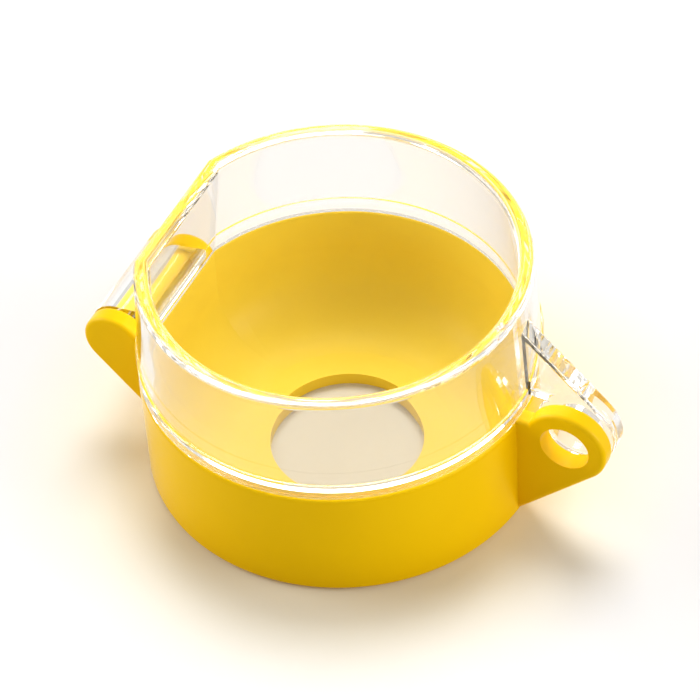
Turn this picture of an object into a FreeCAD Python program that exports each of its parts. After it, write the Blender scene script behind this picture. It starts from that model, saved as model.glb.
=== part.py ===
"""A cage feeder cup: a yellow moulded bowl with a clear guard ring hinged on its flat side.

The frame is the cup's own.  The origin is the centre of the cup's underside, +Z is up, +X points
at the latch lug, and Y runs along the hinge pin, parallel to the flat side.  Sizes are in
millimetres.
"""
import FreeCAD
import Part
import math
import os
import Sketcher

SIZES = {
    # the cup's outside, which steps in at a shoulder to a thinner lip
    "cup_height": 21.8,
    "shoulder_height": 20.85,
    "shoulder_radius": 31.2,
    "cup_base_radius": 31.1,
    "cup_flat": 29.2,              # cup axis to the outside of the flat side
    "lip_radius": 29.95,
    "lip_flat": 28.1,
    "outer_rounding": 1.1,         # along the shoulder and round the edge of the underside
    "rim_inner_rounding": 0.8,
    # the bowl inside the cup
    "floor_thickness": 2.2,
    "bowl_rim_radius": 28.9,
    "bowl_floor_radius": 28.3,
    "bowl_rim_flat": 27.1,
    "bowl_floor_flat": 26.7,
    "bowl_rounding": 12.0,
    "floor_hole_radius": 12.0,
    # lugs on the cup
    "lug_thickness": 3.1,
    "lug_edge_rounding": 0.75,
    "latch_x": 38.9,
    "latch_z": 18.1,
    "latch_lug_radius": 6.6,
    "latch_hole_radius": 4.0,
    "hinge_x": 33.9,               # cup axis to the hinge line, on the flat side
    "hinge_z": 18.0,
    "hinge_lug_radius": 5.2,
    "hinge_gap": 16.4,             # between the two hinge lugs
    # the hinge pin and the knuckle that turns on it
    "pin_radius": 3.05,
    "pin_clearance": 0.08,
    "pin_socket_depth": 2.0,
    "pin_chamfer": 0.4,
    "knuckle_radius": 5.2,
    "knuckle_length": 16.2,
    "knuckle_relief": 0.35,
    # the guard ring, whose skirt drops over the lip and stands on the shoulder
    "seat_gap": 0.05,              # between the cup and the closed guard
    "skirt_top": 23.8,
    "lip_clearance": 0.15,         # between the lip and the skirt round it
    "guard_top": 39.8,
    "guard_base_radius": 30.9,
    "guard_top_radius": 30.1,
    "guard_base_flat": 28.9,
    "guard_top_flat": 27.6,
    "guard_base_inner_radius": 28.7,
    "guard_top_inner_radius": 27.6,
    "guard_base_inner_flat": 26.9,
    "guard_top_inner_flat": 25.1,
    "guard_rim_rounding": 1.0,
    # the clear ear beside the latch lug
    "ear_gap": 1.0,
    "ear_thickness": 3.4,
    "ear_radius": 6.5,
    "ear_root_top": 35.8,          # where the ear's sloping edge meets the guard's wall
    "ear_root_low": 22.4,
    "ear_edge_rounding": 0.5,
    # how far cutting shapes reach past what they cut
    "overshoot": 2.0,
}

# how close an edge lies to a place, in millimetres, to count as lying on it
SAME_PLACE = 0.02

doc = FreeCAD.newDocument("feeder_cup_with_guard")


class Size:
    """A length that knows both its value and the sheet expression that gives it."""

    def __init__(self, value, text):
        self.value = float(value)
        self.text = text

    def _with(self, sign, other, value):
        other_text = other.text if isinstance(other, Size) else repr(float(other))
        return Size(value, "(%s %s %s)" % (self.text, sign, other_text))

    def __add__(self, other):
        return self._with("+", other, self.value + number(other))

    def __sub__(self, other):
        return self._with("-", other, self.value - number(other))

    def __mul__(self, other):
        return self._with("*", other, self.value * number(other))

    def __truediv__(self, other):
        return self._with("/", other, self.value / number(other))

    def __neg__(self):
        return Size(-self.value, "(-%s)" % self.text)


def number(size):
    return size.value if isinstance(size, Size) else float(size)


def make_sheet():
    """Writes every driving dimension to the sheet and returns them as Size objects."""
    sheet = doc.addObject("Spreadsheet::Sheet", "sizes")
    sizes = {}
    for row, (name, value) in enumerate(SIZES.items(), start=1):
        sheet.set("A%d" % row, name)
        sheet.set("B%d" % row, str(value))
        sheet.setAlias("B%d" % row, name)
        sizes[name] = Size(value, "sizes." + name)
    doc.recompute()
    return sizes


size = make_sheet()
ZERO = Size(0.0, "0.0")


# ---- sketches -------------------------------------------------------------------------------

H_AXIS, V_AXIS = -1, -2
START, END, CENTRE = 1, 2, 3


def new_body(label):
    body = doc.addObject("PartDesign::Body", label)
    body.Label = label
    return body


def new_sketch(body, name, plane="XZ_Plane", offset=None):
    """An empty sketch on one of the body's origin planes.

    A sketch on the XZ plane has X across and Z up, and faces -Y, so an offset is measured
    towards -Y there.
    """
    sketch = body.newObject("Sketcher::SketchObject", name)
    support = next(item for item in body.Origin.OriginFeatures if item.Role == plane)
    sketch.AttachmentSupport = [(support, "")]
    sketch.MapMode = "FlatFace"
    if offset is not None:
        sketch.setExpression("AttachmentOffset.Base.z", offset.text)
    return sketch


def bind(sketch, index, dimension):
    sketch.setExpression("Constraints[%d]" % index, dimension.text)


def place(sketch, geometry, point, across=None, up=None):
    """Fixes one point of the sketch by its distances from the sketch's axes."""
    for kind, axis, distance in (("DistanceX", V_AXIS, across), ("DistanceY", H_AXIS, up)):
        if distance is None:
            continue
        if distance.value == 0.0:
            sketch.addConstraint(Sketcher.Constraint("PointOnObject", geometry, point, axis))
        elif distance.value > 0.0:
            ends = (H_AXIS, START, geometry, point)
            bind(sketch, sketch.addConstraint(Sketcher.Constraint(kind, *ends, distance.value)),
                 distance)
        else:
            ends = (geometry, point, H_AXIS, START)
            bind(sketch, sketch.addConstraint(Sketcher.Constraint(kind, *ends, -distance.value)),
                 -distance)


def vector(point):
    return FreeCAD.Vector(number(point[0]), number(point[1]), 0)


def add_polygon(sketch, points):
    """A closed polygon whose corners are all fixed by dimensions."""
    count = len(points)
    for index, corner in enumerate(points):
        following = points[(index + 1) % count]
        sketch.addGeometry(Part.LineSegment(vector(corner), vector(following)))
    for index in range(count):
        following = (index + 1) % count
        sketch.addConstraint(Sketcher.Constraint("Coincident", index, END, following, START))
    for index, (across, up) in enumerate(points):
        place(sketch, index, START, across, up)


def add_circle(sketch, across, up, radius):
    circle = Part.Circle(vector((across, up)), FreeCAD.Vector(0, 0, 1), radius.value)
    index = sketch.addGeometry(circle)
    place(sketch, index, CENTRE, across, up)
    bind(sketch, sketch.addConstraint(Sketcher.Constraint("Radius", index, radius.value)), radius)


# ---- features -------------------------------------------------------------------------------

def revolve(body, name, points):
    """A solid of revolution about Z from a half profile given as (radius, height) corners."""
    sketch = new_sketch(body, name + "_profile")
    add_polygon(sketch, points)
    feature = body.newObject("PartDesign::Revolution", name)
    feature.Profile = sketch
    feature.ReferenceAxis = (sketch, ["V_Axis"])
    feature.Angle = 360
    doc.recompute()
    return feature


def pad(body, name, sketch, length):
    """Extrudes a sketch along its facing direction, which is -Y for one on the XZ plane."""
    feature = body.newObject("PartDesign::Pad", name)
    feature.Profile = sketch
    feature.setExpression("Length", length.text)
    doc.recompute()
    return feature


def cut(body, name, sketch, length=None, symmetric=False, towards_sketch=False):
    """Cuts a sketch out of the body, right through it unless a length is given.

    A cut runs away from the sketch's facing direction, or with it when towards_sketch is set.
    """
    before = body.Shape.Volume
    feature = body.newObject("PartDesign::Pocket", name)
    feature.Profile = sketch
    feature.Reversed = towards_sketch
    if symmetric:
        feature.SideType = "Symmetric"
    if length is None:
        feature.Type = "ThroughAll"
    else:
        feature.Type = "Length"
        feature.setExpression("Length", length.text)
    doc.recompute()
    if not body.Shape.Volume < before:
        raise RuntimeError(name + " removed nothing")
    return feature


def combine(body, name, kind, tools):
    """Fuses other bodies' solids with this one, or cuts them out of it."""
    before = body.Shape.Volume
    feature = body.newObject("PartDesign::Boolean", name)
    feature.Type = kind
    feature.addObjects(tools)
    doc.recompute()
    if (body.Shape.Volume > before) != (kind == "Fuse"):
        raise RuntimeError(name + " changed nothing")
    return feature


def round_edges(body, name, radius, wanted):
    """Rounds the edges of the body so far for which wanted(edge) is true."""
    base = body.Tip
    names = ["Edge%d" % number for number, edge in enumerate(base.Shape.Edges, start=1)
             if wanted(edge)]
    if not names:
        raise RuntimeError(name + " found no edges")
    feature = body.newObject("PartDesign::Fillet", name)
    feature.Base = (base, names)
    feature.Refine = False
    feature.setExpression("Radius", radius.text)
    doc.recompute()
    return feature


def edge_points(edge, count=5):
    return edge.discretize(count)


def radius_at(point):
    return math.hypot(point.x, point.y)


def all_at_height(edge, height, tolerance=SAME_PLACE):
    return all(abs(point.z - number(height)) < tolerance for point in edge_points(edge))


def stays_at_x(edge, position, tolerance=SAME_PLACE):
    return all(abs(point.x - number(position)) < tolerance for point in edge_points(edge))


def all_on_plane_y(edge, position, tolerance=SAME_PLACE):
    return all(abs(point.y - number(position)) < tolerance for point in edge_points(edge))


# ---- shared outlines ------------------------------------------------------------------------

def add_lug_outline(sketch, side, wall, centre_x, centre_z, radius, top):
    """A lug seen along Y: a round head, a straight 45 degree lower edge and a level neck.

    side is +1 for a lug on the +X side and -1 for one on the -X side.  wall is how far from the
    axis the outline starts, inside the cup's wall.
    """
    slope = math.radians(45)
    head = (side * centre_x.value, centre_z.value)
    reach = radius.value * math.sin(slope)
    low = (head[0] + side * reach, head[1] - reach)
    rise = top.value - head[1]
    neck = (head[0] - side * math.sqrt(radius.value ** 2 - rise ** 2), top.value)
    wall_x = side * wall.value
    root_low = (wall_x, low[1] - (low[0] - wall_x) * side)
    root_top = (wall_x, top.value)

    low_angle = math.atan2(low[1] - head[1], low[0] - head[0])
    neck_angle = math.atan2(neck[1] - head[1], neck[0] - head[0])
    circle = Part.Circle(vector(head), FreeCAD.Vector(0, 0, 1), radius.value)
    if side > 0:
        arc = Part.ArcOfCircle(circle, low_angle, neck_angle)
        low_end, neck_end = START, END
    else:
        arc = Part.ArcOfCircle(circle, neck_angle, low_angle + 2 * math.pi)
        low_end, neck_end = END, START

    sketch.addGeometry(Part.LineSegment(vector(root_low), vector(low)))
    sketch.addGeometry(arc)
    sketch.addGeometry(Part.LineSegment(vector(neck), vector(root_top)))
    sketch.addGeometry(Part.LineSegment(vector(root_top), vector(root_low)))
    sketch.addConstraint([
        Sketcher.Constraint("Tangent", 0, END, 1, low_end),
        Sketcher.Constraint("Coincident", 1, neck_end, 2, START),
        Sketcher.Constraint("Coincident", 2, END, 3, START),
        Sketcher.Constraint("Coincident", 3, END, 0, START),
        Sketcher.Constraint("Vertical", 3),
        Sketcher.Constraint("Angle", 0, slope if side > 0 else math.pi - slope),
    ])
    place(sketch, 1, CENTRE, centre_x if side > 0 else -centre_x, centre_z)
    bind(sketch, sketch.addConstraint(Sketcher.Constraint("Radius", 1, radius.value)), radius)
    place(sketch, 1, neck_end, up=top)
    place(sketch, 2, END, wall if side > 0 else -wall, top)


# ---- the cup --------------------------------------------------------------------------------

def is_base_or_shoulder(edge):
    """The edge of the underside, or the outer edge of the shoulder."""
    return all_at_height(edge, ZERO) or (
        all_at_height(edge, size["shoulder_height"])
        and radius_at(edge_points(edge)[0]) > size["lip_radius"].value + SAME_PLACE)


def cup_outside(body):
    revolve(body, "cup_wall", [
        (ZERO, ZERO),
        (size["cup_base_radius"], ZERO),
        (size["shoulder_radius"], size["shoulder_height"]),
        (size["lip_radius"], size["shoulder_height"]),
        (size["lip_radius"], size["cup_height"]),
        (ZERO, size["cup_height"]),
    ])
    round_edges(body, "outer_rounding", size["outer_rounding"], is_base_or_shoulder)
    flat = new_sketch(body, "flat_side_outline")
    far = size["shoulder_radius"] + size["overshoot"]
    above = size["cup_height"] + size["overshoot"]
    add_polygon(flat, [
        (-far, -size["overshoot"]),
        (-size["cup_flat"], -size["overshoot"]),
        (-size["cup_flat"], size["shoulder_height"]),
        (-size["lip_flat"], size["shoulder_height"]),
        (-size["lip_flat"], above),
        (-far, above),
    ])
    cut(body, "flat_side", flat, symmetric=True)


def lug(name, side, wall, centre, radius, near_face):
    """One lug with its outline rounded, its -Y face lying thickness beyond near_face."""
    tool = new_body(name)
    sketch = new_sketch(tool, name + "_outline", offset=near_face)
    add_lug_outline(sketch, side, wall, centre[0], centre[1], radius, size["shoulder_height"])
    pad(tool, name + "_plate", sketch, size["lug_thickness"])
    faces = (-near_face, -(near_face + size["lug_thickness"]))
    round_edges(tool, name + "_edges", size["lug_edge_rounding"],
                lambda edge: not stays_at_x(edge, wall * side)
                and any(all_on_plane_y(edge, face) for face in faces))
    return tool


def latch_lug():
    """The lug on the +X side: its back face lies on the XZ plane."""
    return lug("latch_lug", 1, size["shoulder_radius"] - size["lug_edge_rounding"],
               (size["latch_x"], size["latch_z"]), size["latch_lug_radius"], ZERO)


def hinge_lugs():
    """Two lugs on the flat side, one each side of the guard's knuckle."""
    wall = size["bowl_floor_flat"]
    centre = (size["hinge_x"], size["hinge_z"])
    front = size["hinge_gap"] / 2
    rear = -(size["hinge_gap"] / 2 + size["lug_thickness"])
    return [lug("front_hinge_lug", -1, wall, centre, size["hinge_lug_radius"], front),
            lug("rear_hinge_lug", -1, wall, centre, size["hinge_lug_radius"], rear)]


def bowl_space():
    """The feed space that is cut out of the cup, rounded where its wall meets its floor."""
    tool = new_body("bowl_space")
    above = size["cup_height"] + size["overshoot"]
    revolve(tool, "bowl_round", [
        (ZERO, size["floor_thickness"]),
        (size["bowl_floor_radius"], size["floor_thickness"]),
        (size["bowl_rim_radius"], size["cup_height"]),
        (size["bowl_rim_radius"], above),
        (ZERO, above),
    ])
    sketch = new_sketch(tool, "bowl_flat_outline")
    far = size["bowl_rim_radius"] + size["overshoot"]
    add_polygon(sketch, [
        (-far, ZERO),
        (-size["bowl_floor_flat"], ZERO),
        (-size["bowl_floor_flat"], size["floor_thickness"]),
        (-size["bowl_rim_flat"], size["cup_height"]),
        (-size["bowl_rim_flat"], above + size["overshoot"]),
        (-far, above + size["overshoot"]),
    ])
    cut(tool, "bowl_flat", sketch, symmetric=True)
    round_edges(tool, "bowl_floor_rounding", size["bowl_rounding"],
                lambda edge: all_at_height(edge, size["floor_thickness"]))
    return tool


def floor_hole(body):
    sketch = new_sketch(body, "floor_hole_outline", plane="XY_Plane")
    add_circle(sketch, ZERO, ZERO, size["floor_hole_radius"])
    cut(body, "floor_hole", sketch, symmetric=True)


def knuckle_relief(body):
    """A shallow scallop in the flat wall, so that the guard's knuckle can turn beside it."""
    sketch = new_sketch(body, "knuckle_relief_outline")
    add_circle(sketch, -size["hinge_x"], size["hinge_z"],
               size["knuckle_radius"] + size["knuckle_relief"])
    cut(body, "knuckle_relief", sketch, length=size["hinge_gap"], symmetric=True)


def pin_socket(body):
    """Right through the rear lug and part of the way into the front lug."""
    start = size["hinge_gap"] / 2 + size["lug_thickness"] + size["overshoot"]
    sketch = new_sketch(body, "pin_socket_outline", offset=-start)
    add_circle(sketch, -size["hinge_x"], size["hinge_z"], size["pin_radius"])
    cut(body, "pin_socket", sketch, towards_sketch=True,
        length=start + size["hinge_gap"] / 2 + size["pin_socket_depth"])


def latch_hole(body):
    sketch = new_sketch(body, "latch_hole_outline")
    add_circle(sketch, size["latch_x"], size["latch_z"], size["latch_hole_radius"])
    cut(body, "latch_hole", sketch, symmetric=True,
        length=(size["lug_thickness"] + size["overshoot"]) * 2)


def is_bowl_rim(edge):
    """The inner edge of the cup's top: no point of it is outside the bowl's rim radius."""
    return all_at_height(edge, size["cup_height"]) and all(
        radius_at(point) < size["bowl_rim_radius"].value + SAME_PLACE for point in edge_points(edge))


def feeder_cup():
    body = new_body("feeder_cup")
    cup_outside(body)
    combine(body, "lugs", "Fuse", [latch_lug()] + hinge_lugs())
    combine(body, "bowl", "Cut", [bowl_space()])
    round_edges(body, "rim_inner_rounding", size["rim_inner_rounding"], is_bowl_rim)
    floor_hole(body)
    knuckle_relief(body)
    pin_socket(body)
    latch_hole(body)
    return body


# ---- the guard ring -------------------------------------------------------------------------

def guard_levels():
    """The undersides of the guard's skirt and of its wall, where it sits on the lip."""
    return size["shoulder_height"] + size["seat_gap"], size["cup_height"] + size["seat_gap"]


def guard_outside(body):
    skirt_bottom, _ = guard_levels()
    revolve(body, "guard_wall", [
        (ZERO, skirt_bottom),
        (size["shoulder_radius"], skirt_bottom),
        (size["shoulder_radius"], size["skirt_top"]),
        (size["guard_base_radius"], size["skirt_top"]),
        (size["guard_top_radius"], size["guard_top"]),
        (ZERO, size["guard_top"]),
    ])
    sketch = new_sketch(body, "guard_flat_outline")
    far = size["shoulder_radius"] + size["overshoot"]
    below = skirt_bottom - size["overshoot"]
    above = size["guard_top"] + size["overshoot"]
    add_polygon(sketch, [
        (-far, below),
        (-size["cup_flat"], below),
        (-size["cup_flat"], size["skirt_top"]),
        (-size["guard_base_flat"], size["skirt_top"]),
        (-size["guard_top_flat"], size["guard_top"]),
        (-size["guard_top_flat"], above),
        (-far, above),
    ])
    cut(body, "guard_flat", sketch, symmetric=True)


def guard_space():
    """The open middle of the guard, with the rebate that the cup's lip fits into."""
    tool = new_body("guard_space")
    skirt_bottom, seat = guard_levels()
    rebate_radius = size["lip_radius"] + size["lip_clearance"]
    rebate_flat = size["lip_flat"] + size["lip_clearance"]
    below = skirt_bottom - size["overshoot"]
    above = size["guard_top"] + size["overshoot"]
    revolve(tool, "guard_space_round", [
        (ZERO, below),
        (rebate_radius, below),
        (rebate_radius, seat),
        (size["guard_base_inner_radius"], seat),
        (size["guard_top_inner_radius"], size["guard_top"]),
        (size["guard_top_inner_radius"], above),
        (ZERO, above),
    ])
    sketch = new_sketch(tool, "guard_space_flat_outline")
    far = rebate_radius + size["overshoot"]
    add_polygon(sketch, [
        (-far, below - size["overshoot"]),
        (-rebate_flat, below - size["overshoot"]),
        (-rebate_flat, seat),
        (-size["guard_base_inner_flat"], seat),
        (-size["guard_top_inner_flat"], size["guard_top"]),
        (-size["guard_top_inner_flat"], above + size["overshoot"]),
        (-far, above + size["overshoot"]),
    ])
    cut(tool, "guard_space_flat", sketch, symmetric=True)
    return tool


def knuckle(body):
    """The hinge knuckle and the short arm that joins it to the guard's skirt."""
    skirt_bottom, _ = guard_levels()
    half = size["knuckle_length"] / 2
    inside_skirt = (size["cup_flat"] + size["lip_flat"]) / 2
    arm = new_sketch(body, "knuckle_arm_outline", offset=-half)
    add_polygon(arm, [
        (-size["hinge_x"], skirt_bottom),
        (-inside_skirt, skirt_bottom),
        (-inside_skirt, size["skirt_top"]),
        (-size["hinge_x"], size["hinge_z"] + size["knuckle_radius"]),
    ])
    pad(body, "knuckle_arm", arm, size["knuckle_length"])
    barrel = new_sketch(body, "knuckle_outline", offset=-half)
    add_circle(barrel, -size["hinge_x"], size["hinge_z"], size["knuckle_radius"])
    pad(body, "knuckle", barrel, size["knuckle_length"])


def knuckle_bore(body):
    sketch = new_sketch(body, "knuckle_bore_outline")
    add_circle(sketch, -size["hinge_x"], size["hinge_z"],
               size["pin_radius"] + size["pin_clearance"])
    cut(body, "knuckle_bore", sketch, symmetric=True,
        length=size["knuckle_length"] + size["overshoot"])


def ear(body):
    """The clear ear beside the latch lug: the lug's round head with an edge sloping up from it."""
    sketch = new_sketch(body, "ear_outline", offset=-(size["ear_gap"] + size["ear_thickness"]))
    head = (size["latch_x"].value, size["latch_z"].value)
    radius = size["ear_radius"].value
    wall_x = (size["guard_base_inner_radius"] + size["guard_base_radius"]) / 2
    root_top = (wall_x.value, size["ear_root_top"].value)
    low = size["ear_root_low"].value

    reach = math.hypot(root_top[0] - head[0], root_top[1] - head[1])
    towards_root = math.atan2(root_top[1] - head[1], root_top[0] - head[0])
    tangent_angle = towards_root - math.acos(radius / reach)
    neck_angle = math.pi - math.asin((low - head[1]) / radius)
    circle = Part.Circle(vector(head), FreeCAD.Vector(0, 0, 1), radius)
    tangent = (head[0] + radius * math.cos(tangent_angle), head[1] + radius * math.sin(tangent_angle))
    neck = (head[0] + radius * math.cos(neck_angle), low)

    sketch.addGeometry(Part.LineSegment(vector(root_top), vector(tangent)))
    sketch.addGeometry(Part.ArcOfCircle(circle, neck_angle, tangent_angle + 2 * math.pi))
    sketch.addGeometry(Part.LineSegment(vector(neck), vector((wall_x.value, low))))
    sketch.addGeometry(Part.LineSegment(vector((wall_x.value, low)), vector(root_top)))
    sketch.addConstraint([
        Sketcher.Constraint("Tangent", 0, END, 1, END),
        Sketcher.Constraint("Coincident", 1, START, 2, START),
        Sketcher.Constraint("Coincident", 2, END, 3, START),
        Sketcher.Constraint("Coincident", 3, END, 0, START),
    ])
    place(sketch, 1, CENTRE, size["latch_x"], size["latch_z"])
    index = sketch.addConstraint(Sketcher.Constraint("Radius", 1, radius))
    bind(sketch, index, size["ear_radius"])
    place(sketch, 0, START, wall_x, size["ear_root_top"])
    place(sketch, 2, END, wall_x, size["ear_root_low"])
    place(sketch, 2, START, up=size["ear_root_low"])
    pad(body, "ear", sketch, size["ear_thickness"])


def ear_hole(body):
    sketch = new_sketch(body, "ear_hole_outline",
                        offset=-(size["ear_gap"] + size["ear_thickness"] + size["overshoot"]))
    add_circle(sketch, size["latch_x"], size["latch_z"], size["latch_hole_radius"])
    cut(body, "ear_hole", sketch, towards_sketch=True,
        length=size["ear_thickness"] + size["overshoot"] * 2)


def is_ear_outline(edge):
    middle = edge.valueAt((edge.FirstParameter + edge.LastParameter) / 2)
    beyond = middle.x > size["shoulder_radius"].value
    faces = (size["ear_gap"], size["ear_gap"] + size["ear_thickness"])
    return beyond and any(all_on_plane_y(edge, face) for face in faces)


def guard_ring():
    body = new_body("guard_ring")
    guard_outside(body)
    ear(body)
    knuckle(body)
    round_edges(body, "ear_edge_rounding", size["ear_edge_rounding"], is_ear_outline)
    combine(body, "guard_opening", "Cut", [guard_space()])
    knuckle_bore(body)
    ear_hole(body)
    round_edges(body, "guard_rim_rounding", size["guard_rim_rounding"],
                lambda edge: all_at_height(edge, size["guard_top"]))
    return body


# ---- the hinge pin --------------------------------------------------------------------------

def hinge_pin():
    """A plain round pin, flush with the rear lug's outside and bottoming in the front lug."""
    body = new_body("hinge_pin")
    rear_face = size["hinge_gap"] / 2 + size["lug_thickness"]
    sketch = new_sketch(body, "pin_outline", offset=-rear_face)
    add_circle(sketch, -size["hinge_x"], size["hinge_z"], size["pin_radius"])
    pad(body, "pin", sketch, rear_face + size["hinge_gap"] / 2 + size["pin_socket_depth"])
    base = body.Tip
    names = ["Edge%d" % index for index, edge in enumerate(base.Shape.Edges, start=1)
             if len(edge.Vertexes) == 1]
    ends = body.newObject("PartDesign::Chamfer", "pin_ends")
    ends.Base = (base, names)
    ends.setExpression("Size", size["pin_chamfer"].text)
    doc.recompute()
    return body


# ---- output ---------------------------------------------------------------------------------

def check_document():
    for item in doc.Objects:
        if "Invalid" in item.State or "Error" in item.State:
            raise RuntimeError("%s failed: %s" % (item.Name, item.State))


def write_parts(bodies):
    check_document()
    os.makedirs("parts", exist_ok=True)
    for body in bodies:
        shape = body.Shape
        if shape.isNull() or not shape.isValid() or len(shape.Solids) != 1:
            raise RuntimeError(body.Label + " is not one valid solid")
    for body in bodies:
        body.Shape.exportStep("parts/%s.step" % body.Label)
        box = body.Shape.BoundBox
        print("%-12s volume %8.1f  x %.2f..%.2f  y %.2f..%.2f  z %.2f..%.2f" % (
            body.Label, body.Shape.Volume, box.XMin, box.XMax, box.YMin, box.YMax,
            box.ZMin, box.ZMax))


write_parts([feeder_cup(), guard_ring(), hinge_pin()])
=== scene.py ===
"""The look of the cage feeder cup: glossy yellow moulded plastic under a clear guard ring.

The shapes all come from the CAD frame.  This script gives them their plastics, and sets the
floor, the soft studio light and the camera.  Lengths are in metres.
"""

import math

import bpy
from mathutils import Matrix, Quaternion, Vector

CAMERA_BEARING = 29.5
CUP_MIDDLE = Vector((0, 0, 0.02))
BOWL_RADIUS = 0.0289
BOWL_EDGE_WIDTH = 0.0003
LIGHT_BOUNCES = 24

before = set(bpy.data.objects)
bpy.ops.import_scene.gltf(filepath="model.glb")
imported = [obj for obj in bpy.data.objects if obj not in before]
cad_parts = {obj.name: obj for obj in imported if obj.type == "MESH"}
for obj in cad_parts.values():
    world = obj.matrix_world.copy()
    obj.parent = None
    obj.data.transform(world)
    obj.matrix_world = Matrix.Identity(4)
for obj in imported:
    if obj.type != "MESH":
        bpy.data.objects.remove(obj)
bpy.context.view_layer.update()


# ---- node helpers ---------------------------------------------------------------------------

def srgb(red, green, blue):
    """A linear colour from 0..255 display values."""
    def linear(value):
        share = value / 255
        return share / 12.92 if share <= 0.04045 else ((share + 0.055) / 1.055) ** 2.4
    return (linear(red), linear(green), linear(blue), 1.0)


class Nodes:
    """Builds a material's node tree, one named node at a time."""

    def __init__(self, name):
        self.material = bpy.data.materials.new(name)
        self.material.use_nodes = True
        self.tree = self.material.node_tree
        self.tree.nodes.clear()
        self.output = self.add("ShaderNodeOutputMaterial")
        coordinates = self.add("ShaderNodeTexCoord").outputs
        self.place, self.normal = coordinates["Object"], coordinates["Normal"]

    def add(self, kind, inputs=None, **settings):
        node = self.tree.nodes.new(kind)
        for key, value in settings.items():
            setattr(node, key, value)
        for key, value in (inputs or {}).items():
            if isinstance(value, bpy.types.NodeSocket):
                self.tree.links.new(value, node.inputs[key])
            else:
                node.inputs[key].default_value = value
        return node

    def noise(self, scale, detail=3.0, roughness=0.5):
        node = self.add("ShaderNodeTexNoise", {"Vector": self.place, "Scale": scale,
                                               "Detail": detail, "Roughness": roughness})
        return node.outputs["Fac"]

    def span(self, value, low, high, start=0.3, end=0.7):
        """Maps a value from start..end to low..high, and holds it at the ends."""
        node = self.add("ShaderNodeMapRange", {"Value": value, "From Min": start,
                                               "From Max": end, "To Min": low, "To Max": high})
        return node.outputs["Result"]

    def colours(self, value, low, high):
        ramp = self.add("ShaderNodeValToRGB", {"Fac": value})
        ramp.color_ramp.elements[0].position = 0.3
        ramp.color_ramp.elements[0].color = low
        ramp.color_ramp.elements[1].position = 0.7
        ramp.color_ramp.elements[1].color = high
        return ramp.outputs["Color"]

    def blend(self, factor, first, second):
        """A colour that goes from first to second as factor goes from 0 to 1."""
        node = self.add("ShaderNodeMix", data_type="RGBA", blend_type="MIX")
        for socket, value in ((node.inputs[0], factor), (node.inputs[6], first),
                              (node.inputs[7], second)):
            if isinstance(value, bpy.types.NodeSocket):
                self.tree.links.new(value, socket)
            else:
                socket.default_value = value
        return node.outputs[2]

    def axis_distance(self):
        """How far a point is from the cup's upright axis."""
        level = self.add("ShaderNodeVectorMath", {0: self.place, 1: (1, 1, 0)},
                         operation="MULTIPLY")
        length = self.add("ShaderNodeVectorMath", {0: level.outputs["Vector"]},
                          operation="LENGTH")
        return length.outputs["Value"]

    def power(self, value, exponent, scale):
        raised = self.add("ShaderNodeMath", {0: value, 1: exponent}, operation="POWER")
        scaled = self.add("ShaderNodeMath", {0: raised.outputs[0], 1: scale},
                          operation="MULTIPLY")
        return scaled.outputs[0]

    def bump(self, height, depth, strength=1.0, under=None):
        inputs = {"Height": height, "Distance": depth, "Strength": strength}
        if under is not None:
            inputs["Normal"] = under
        return self.add("ShaderNodeBump", inputs).outputs["Normal"]

    def finish(self, shader):
        self.tree.links.new(shader.outputs[0], self.output.inputs["Surface"])
        return self.material


# ---- materials ------------------------------------------------------------------------------

def yellow_plastic(name, outside, bowl):
    """Opaque moulded plastic with slow waves, fine grain and faint scuffs.

    It shines mostly at a grazing angle, and a little on faces that look up.  outside and bowl
    are each a darker and a lighter yellow, and bowl is used inside the bowl's radius.  The
    bowl's yellow is paler, a painted sheen of white reflection inside the bowl.
    """
    nodes = Nodes(name)
    flow = nodes.noise(scale=38, detail=2)
    grain = nodes.noise(scale=900, detail=4)
    scuffs = nodes.noise(scale=2600, detail=2, roughness=0.7)
    waves = nodes.bump(flow, depth=0.00025)
    surface = nodes.bump(grain, depth=0.000012, under=waves)
    # Inside the bowl's radius the yellow turns paler: a painted sheen standing in for white
    # reflections on the bowl.
    bowl_sheen_mask = nodes.span(nodes.axis_distance(), 1, 0, start=BOWL_RADIUS,
                         end=BOWL_RADIUS + BOWL_EDGE_WIDTH)
    colour = nodes.blend(bowl_sheen_mask, nodes.colours(flow, *outside), nodes.colours(flow, *bowl))
    upward = nodes.add("ShaderNodeSeparateXYZ", {0: nodes.normal}).outputs["Z"]
    plastic = nodes.add("ShaderNodeBsdfPrincipled", {
        "Base Color": colour,
        "Roughness": nodes.span(scuffs, 0.3, 0.42),
        "Specular IOR Level": nodes.span(upward, 0.02, 0.2, start=0.2, end=0.9),
        "Normal": surface,
    })
    shine = nodes.add("ShaderNodeBsdfGlossy", {"Color": srgb(250, 250, 248), "Roughness": 0.25,
                                               "Normal": surface})
    edge_on = nodes.add("ShaderNodeLayerWeight", {"Blend": 0.5}).outputs["Facing"]
    grazing = nodes.power(edge_on, exponent=9, scale=0.9)
    shader = nodes.add("ShaderNodeMixShader", {0: grazing, 1: plastic.outputs[0],
                                               2: shine.outputs[0]})
    return nodes.finish(shader)


def clear_plastic(name):
    """Clear moulded plastic with slow waviness and a trace of haze.

    Lamps shine straight through it, so its shadow stays pale.
    """
    nodes = Nodes(name)
    flow = nodes.noise(scale=55, detail=1)
    haze = nodes.noise(scale=420, detail=3)
    surface = nodes.bump(flow, depth=0.00018)
    plastic = nodes.add("ShaderNodeBsdfPrincipled", {
        "Base Color": srgb(247, 247, 246),
        "Transmission Weight": 1.0,
        "Roughness": nodes.span(haze, 0.0, 0.035),
        "IOR": 1.55,
        "Normal": surface,
    })
    light_through = nodes.add("ShaderNodeBsdfTransparent", {"Color": srgb(244, 244, 242)})
    is_shadow = nodes.add("ShaderNodeLightPath").outputs["Is Shadow Ray"]
    shader = nodes.add("ShaderNodeMixShader", {0: is_shadow, 1: plastic.outputs[0],
                                               2: light_through.outputs[0]})
    return nodes.finish(shader)


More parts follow.
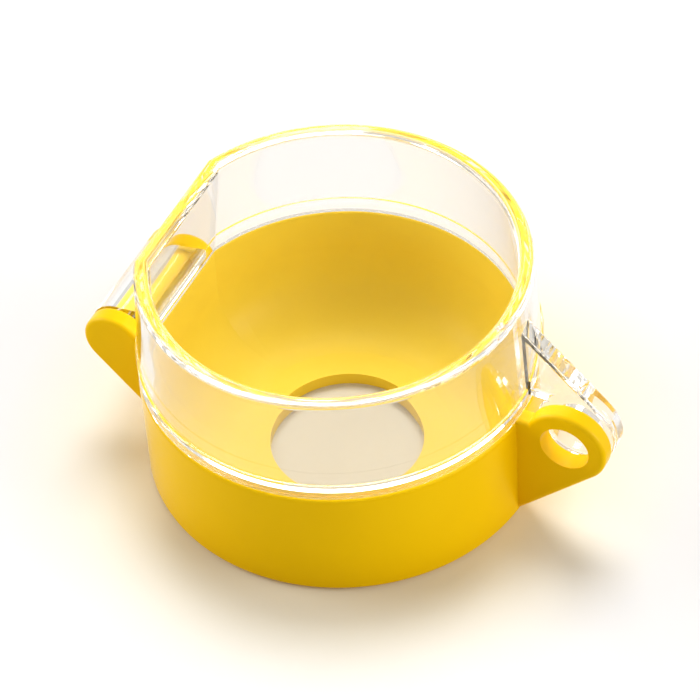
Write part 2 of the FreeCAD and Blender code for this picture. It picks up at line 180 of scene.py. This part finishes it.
def paper_floor(name):
    """Matt white backdrop paper, faintly mottled.

    Close to the cup it has painted shade and painted yellow bounce light.
    """
    nodes = Nodes(name)
    mottle = nodes.noise(scale=3)
    distance = nodes.axis_distance()
    # Painted shade under the hole, where the floor gets light only through the hole, and painted
    # yellow bounce light beside the cup.
    painted_shade_under_hole, painted_bounce_beside_cup = srgb(205, 198, 182), srgb(240, 233, 214)
    near = nodes.blend(nodes.span(distance, 0, 1, start=0.016, end=0.03), painted_shade_under_hole, painted_bounce_beside_cup)
    white = nodes.colours(mottle, srgb(233, 232, 233), srgb(236, 236, 237))
    shader = nodes.add("ShaderNodeBsdfPrincipled", {
        "Base Color": nodes.blend(nodes.span(distance, 0, 1, start=0.031, end=0.055), near, white),
        "Roughness": 0.9,
        "Specular IOR Level": 0.1,
    })
    return nodes.finish(shader)


def paint(node, material):
    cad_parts[node].data.materials.clear()
    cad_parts[node].data.materials.append(material)


# ---- stage ----------------------------------------------------------------------------------

def add_floor(half_width=3.0):
    mesh = bpy.data.meshes.new("floor")
    corners = [(-half_width, -half_width, 0), (half_width, -half_width, 0),
               (half_width, half_width, 0), (-half_width, half_width, 0)]
    mesh.from_pydata(corners, [], [(0, 1, 2, 3)])
    mesh.materials.append(paper_floor("paper"))
    floor = bpy.data.objects.new("floor", mesh)
    bpy.context.scene.collection.objects.link(floor)


def direction(bearing, elevation):
    """A unit vector from the cup.  Bearing 0 is towards -Y and 90 towards +X, in degrees."""
    around, above = math.radians(bearing), math.radians(elevation)
    return Vector((math.sin(around) * math.cos(above), -math.cos(around) * math.cos(above),
                   math.sin(above)))


def add_softbox(name, bearing, elevation, distance, size, power, seen_in_gloss=True):
    """A square softbox that faces the middle of the cup.

    With seen_in_gloss off it lights the cup but stays out of reflections.
    """
    light = bpy.data.lights.new(name, "AREA")
    light.shape = "SQUARE"
    light.size = size
    light.energy = power
    lamp = bpy.data.objects.new(name, light)
    bpy.context.scene.collection.objects.link(lamp)
    towards_lamp = direction(bearing, elevation)
    lamp.location = CUP_MIDDLE + towards_lamp * distance
    lamp.rotation_mode = "QUATERNION"
    lamp.rotation_quaternion = (-towards_lamp).to_track_quat("-Z", "Y")
    lamp.visible_glossy = seen_in_gloss


def add_world(diffuse_strength, seen_strength):
    """A near-white studio that looks brighter in the plastics than it lights matt surfaces."""
    world = bpy.data.worlds.new("studio")
    world.use_nodes = True
    tree = world.node_tree
    background = tree.nodes["Background"]
    background.inputs["Color"].default_value = srgb(255, 252, 245)
    strength = tree.nodes.new("ShaderNodeMapRange")
    strength.inputs["To Min"].default_value = seen_strength
    strength.inputs["To Max"].default_value = diffuse_strength
    path = tree.nodes.new("ShaderNodeLightPath")
    tree.links.new(path.outputs["Is Diffuse Ray"], strength.inputs["Value"])
    tree.links.new(strength.outputs["Result"], background.inputs["Strength"])
    bpy.context.scene.world = world


def add_camera(bearing, elevation, distance, aim, lens, roll):
    """roll turns the camera clockwise, in degrees."""
    data = bpy.data.cameras.new("camera")
    data.lens = lens
    data.sensor_width = 36
    data.clip_start, data.clip_end = 0.01, 20
    camera = bpy.data.objects.new("camera", data)
    bpy.context.scene.collection.objects.link(camera)
    back = direction(bearing, elevation)
    camera.location = Vector(aim) + back * distance
    camera.rotation_mode = "QUATERNION"
    camera.rotation_quaternion = ((-back).to_track_quat("-Z", "Y")
                                  @ Quaternion((0, 0, 1), math.radians(-roll)))
    bpy.context.scene.camera = camera


# The bowl's paler yellow is a painted sheen of white reflection, not a different plastic.
bowl_yellow_painted_sheen = srgb(227, 197, 62), srgb(232, 203, 69)
paint("feeder_cup", yellow_plastic("cup_yellow", (srgb(238, 189, 1), srgb(243, 196, 3)),
                                   bowl_yellow_painted_sheen))
# The hinge pin's yellow is painted paler: a painted haze for the white seen over it through the
# clear knuckle.
paint("hinge_pin", yellow_plastic("pin_yellow_painted_haze", (srgb(237, 194, 52), srgb(241, 199, 58)),
                                  bowl_yellow_painted_sheen))
paint("guard_ring", clear_plastic("guard_clear"))

add_floor()
add_world(diffuse_strength=0.3, seen_strength=0.8)
add_softbox("behind", CAMERA_BEARING + 172, 61, 1.4, size=0.7, power=15.5,
            seen_in_gloss=False)
add_softbox("right", CAMERA_BEARING + 68, 19, 0.7, size=0.4, power=2.5)
add_softbox("left", CAMERA_BEARING - 105, 19, 0.7, size=0.4, power=2.7)
add_camera(CAMERA_BEARING, elevation=46.24, distance=0.6404, aim=(-0.0082, 0.01746, 0),
           lens=205.74, roll=4.243)

bpy.context.scene.view_settings.view_transform = "Standard"
for bounce_limit in ("max_bounces", "glossy_bounces", "transmission_bounces",
                     "transparent_max_bounces"):
    setattr(bpy.context.scene.cycles, bounce_limit, LIGHT_BOUNCES)
